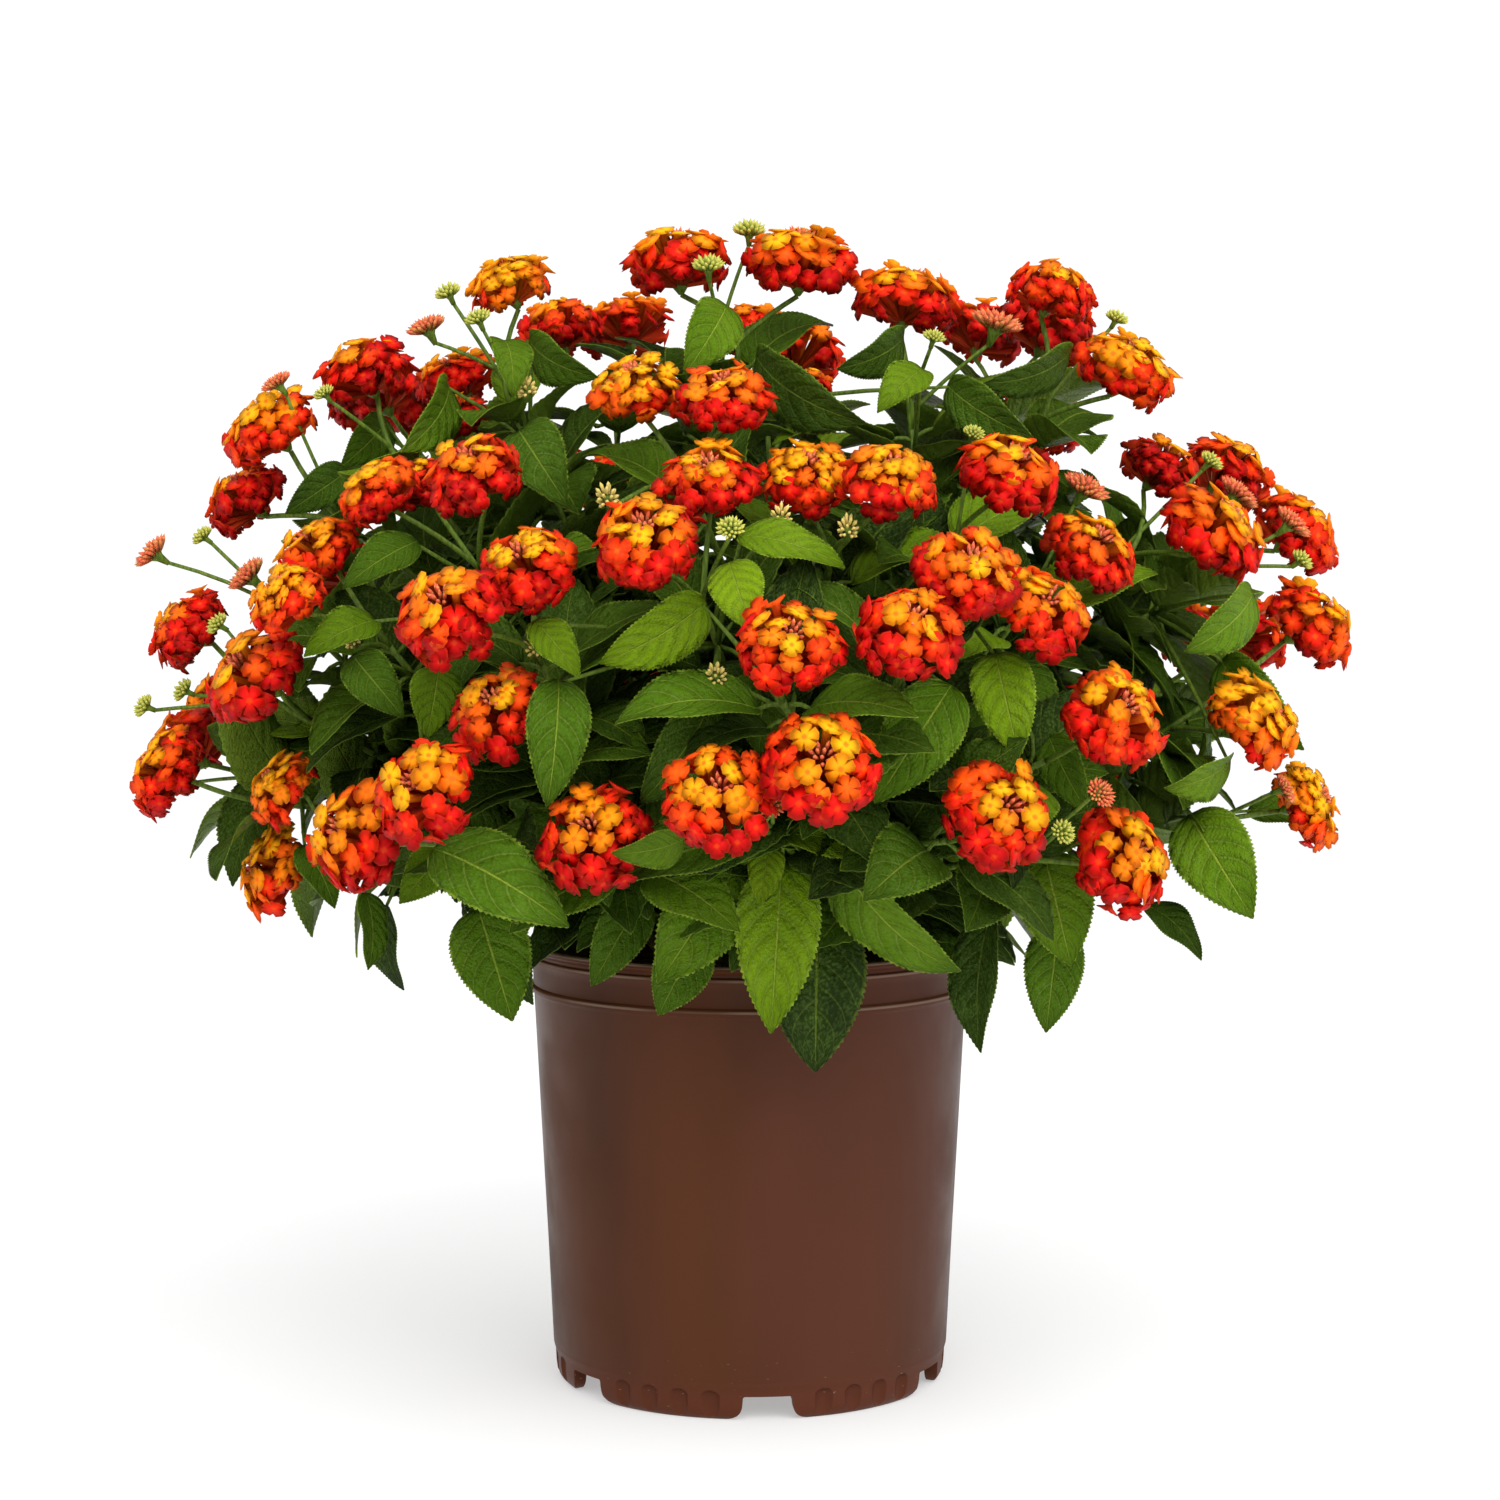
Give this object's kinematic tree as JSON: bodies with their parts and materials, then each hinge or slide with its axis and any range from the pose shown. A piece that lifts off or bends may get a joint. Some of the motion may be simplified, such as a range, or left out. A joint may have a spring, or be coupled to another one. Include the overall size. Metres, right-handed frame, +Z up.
{
  "type": "potted lantana plant",
  "caption": "Mounded flowering plant in a round ridged nursery pot, with domed clusters of small florets over toothed leaves.",
  "frame": {"origin": "on the floor under the pot's axis, which is the middle of the pot's contact ring", "axes": "+Z up along the pot's axis; -Y is the side that faces the viewer in the picture; +X is the viewer's right"},
  "size_m": [0.4529, 0.4429, 0.4345],
  "materials": {
    "brown_plastic": "semi-matte moulded",
    "potting_mix": "crumbly bark and peat",
    "leaf_green": "quilted, slightly rough leaf",
    "petal_orange_red": "soft petal"
  },
  "bodies": {
    "root": {"pot": "brown_plastic", "soil": "potting_mix", "leafy_stem_01": "leaf_green", "leafy_stem_02": "leaf_green", "leafy_stem_03": "leaf_green", "leafy_stem_04": "leaf_green", "leafy_stem_05": "leaf_green", "leafy_stem_06": "leaf_green", "leafy_stem_07": "leaf_green", "leafy_stem_08": "leaf_green", "leafy_stem_09": "leaf_green", "leafy_stem_10": "leaf_green", "spray_01": "petal_orange_red", "spray_02": "petal_orange_red", "spray_03": "petal_orange_red", "spray_04": "petal_orange_red", "spray_05": "petal_orange_red", "spray_06": "petal_orange_red", "spray_07": "petal_orange_red", "spray_08": "petal_orange_red", "spray_09": "petal_orange_red", "spray_10": "petal_orange_red", "spray_11": "petal_orange_red", "spray_12": "petal_orange_red", "spray_13": "petal_orange_red", "spray_14": "petal_orange_red", "spray_15": "petal_orange_red", "spray_16": "petal_orange_red", "spray_17": "petal_orange_red", "spray_18": "petal_orange_red", "spray_19": "petal_orange_red", "spray_20": "petal_orange_red", "spray_21": "petal_orange_red", "spray_22": "petal_orange_red", "spray_23": "petal_orange_red", "spray_24": "petal_orange_red", "spray_25": "petal_orange_red", "spray_26": "petal_orange_red", "spray_27": "petal_orange_red", "spray_28": "petal_orange_red", "spray_29": "petal_orange_red", "spray_30": "petal_orange_red", "spray_31": "petal_orange_red", "spray_32": "petal_orange_red", "spray_33": "petal_orange_red", "spray_34": "petal_orange_red", "spray_35": "petal_orange_red", "spray_36": "petal_orange_red", "spray_37": "petal_orange_red", "spray_38": "petal_orange_red", "spray_39": "petal_orange_red", "spray_40": "petal_orange_red", "spray_41": "petal_orange_red", "spray_42": "petal_orange_red", "spray_43": "petal_orange_red", "spray_44": "petal_orange_red", "spray_45": "petal_orange_red", "spray_46": "petal_orange_red"}
  },
  "joints": []
}
